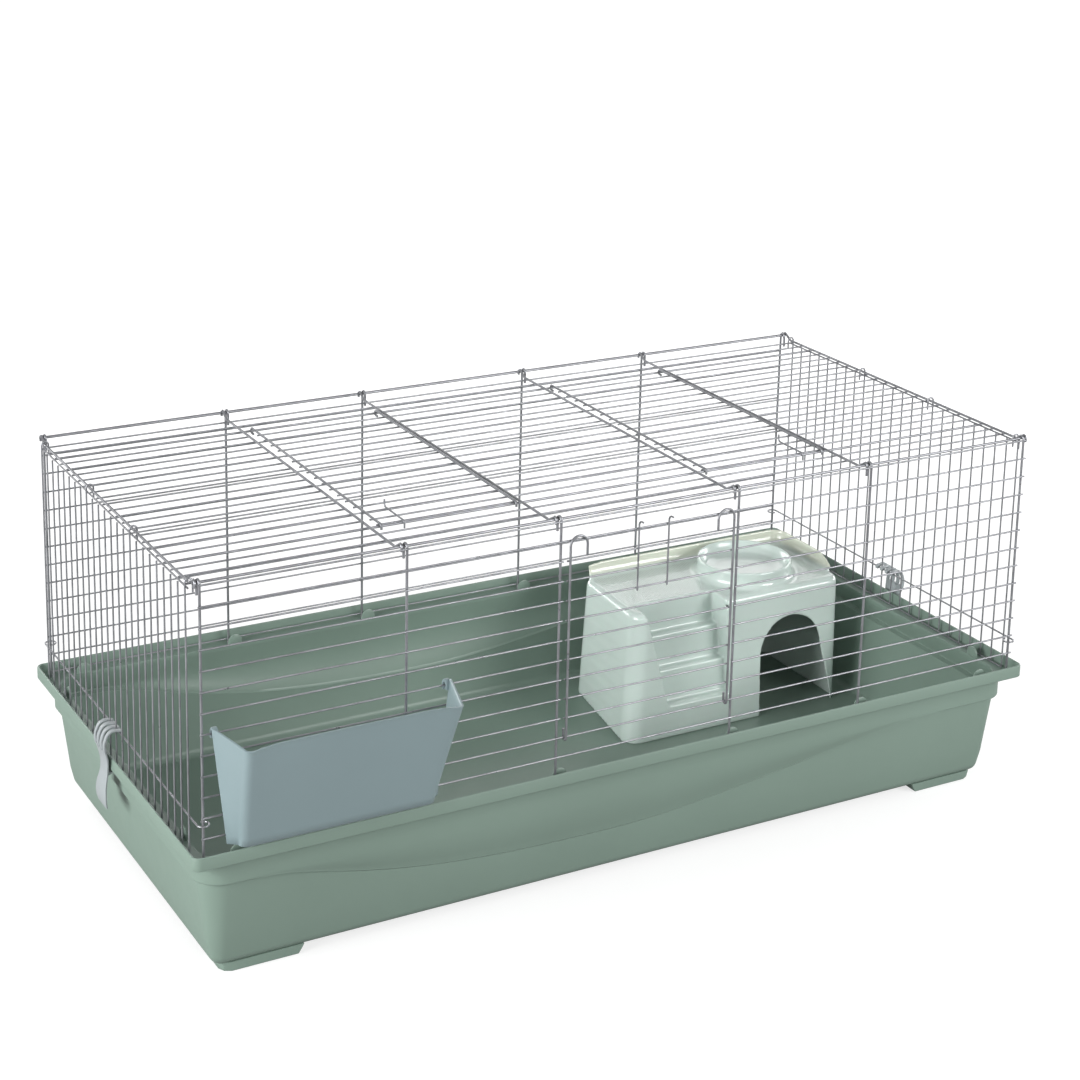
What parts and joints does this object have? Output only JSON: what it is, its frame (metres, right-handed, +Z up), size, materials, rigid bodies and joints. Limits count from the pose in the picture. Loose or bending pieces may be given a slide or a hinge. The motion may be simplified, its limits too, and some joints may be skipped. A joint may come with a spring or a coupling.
{
  "type": "small animal cage",
  "caption": "Long wire rabbit cage on a deep plastic tray, with roof doors, a drop-down front door, side clips, a hay rack and a hide house.",
  "frame": {"origin": "middle of the bounding box on the floor; the hay rack on the front counts in that box, so the tray's own centre is 29.5 mm behind the origin", "axes": "+X along the length to the right of the front, -Y to the front, +Z up"},
  "size_m": [1.201, 0.644, 0.4942],
  "materials": {
    "tray": "satin sage-green moulded plastic",
    "wire": "zinc-plated steel wire, soft sheen",
    "hay_rack": "satin blue-grey moulded plastic",
    "clip": "satin light grey plastic",
    "house": "glossy pale mint plastic"
  },
  "bodies": {
    "base": {"tray": "tray", "front_panel_posts": "wire", "front_panel_bars": "wire", "back_panel_posts": "wire", "back_panel_bars": "wire", "left_panel_uprights": "wire", "left_panel_bars": "wire", "left_clip_wire": "wire", "right_panel_uprights": "wire", "right_panel_bars": "wire", "right_clip_wire": "wire", "roof_frame_wires": "wire", "roof_cross_wires": "wire", "roof_bars": "wire"},
    "front_door": {"front_door_side_wires": "wire", "front_door_bars": "wire", "front_door_latch_wires": "wire"},
    "left_roof_door": {"left_roof_door_frame": "wire", "left_roof_door_bars": "wire", "left_roof_door_latch": "wire"},
    "right_roof_door": {"right_roof_door_frame": "wire", "right_roof_door_bars": "wire", "right_roof_door_latch": "wire"},
    "left_clip": {"left_side_clip": "clip"},
    "right_clip": {"right_side_clip": "clip"},
    "hay_rack": {"hay_rack": "hay_rack"},
    "hide_house": {"hide_house": "house"}
  },
  "joints": [
    {"name": "front_door_hinge", "type": "hinge", "parent": "base", "child": "front_door", "pos_m": [0, -0.25073, 0.213], "axis": [1, 0, 0], "range_deg": [0, 120]},
    {"name": "left_roof_door_hinge", "type": "hinge", "parent": "base", "child": "left_roof_door", "pos_m": [-0.233, 0.23764, 0.48135], "axis": [-1, 0, 0], "range_deg": [0, 150]},
    {"name": "right_roof_door_hinge", "type": "hinge", "parent": "base", "child": "right_roof_door", "pos_m": [0.221, 0.23764, 0.48135], "axis": [-1, 0, 0], "range_deg": [0, 150]},
    {"name": "left_clip_hinge", "type": "hinge", "parent": "base", "child": "left_clip", "pos_m": [-0.57975, 0.02952, 0.205], "axis": [0, 1, 0], "range_deg": [0, 100]},
    {"name": "right_clip_hinge", "type": "hinge", "parent": "base", "child": "right_clip", "pos_m": [0.57975, 0.02952, 0.205], "axis": [0, -1, 0], "range_deg": [0, 100]},
    {"name": "hay_rack_lift", "type": "slide", "parent": "base", "child": "hay_rack", "axis": [0, 0, 1], "range_m": [0, 0.015]},
    {"name": "hide_house_slide", "type": "slide", "parent": "base", "child": "hide_house", "axis": [1, 0, 0], "range_m": [-0.4, 0]}
  ]
}
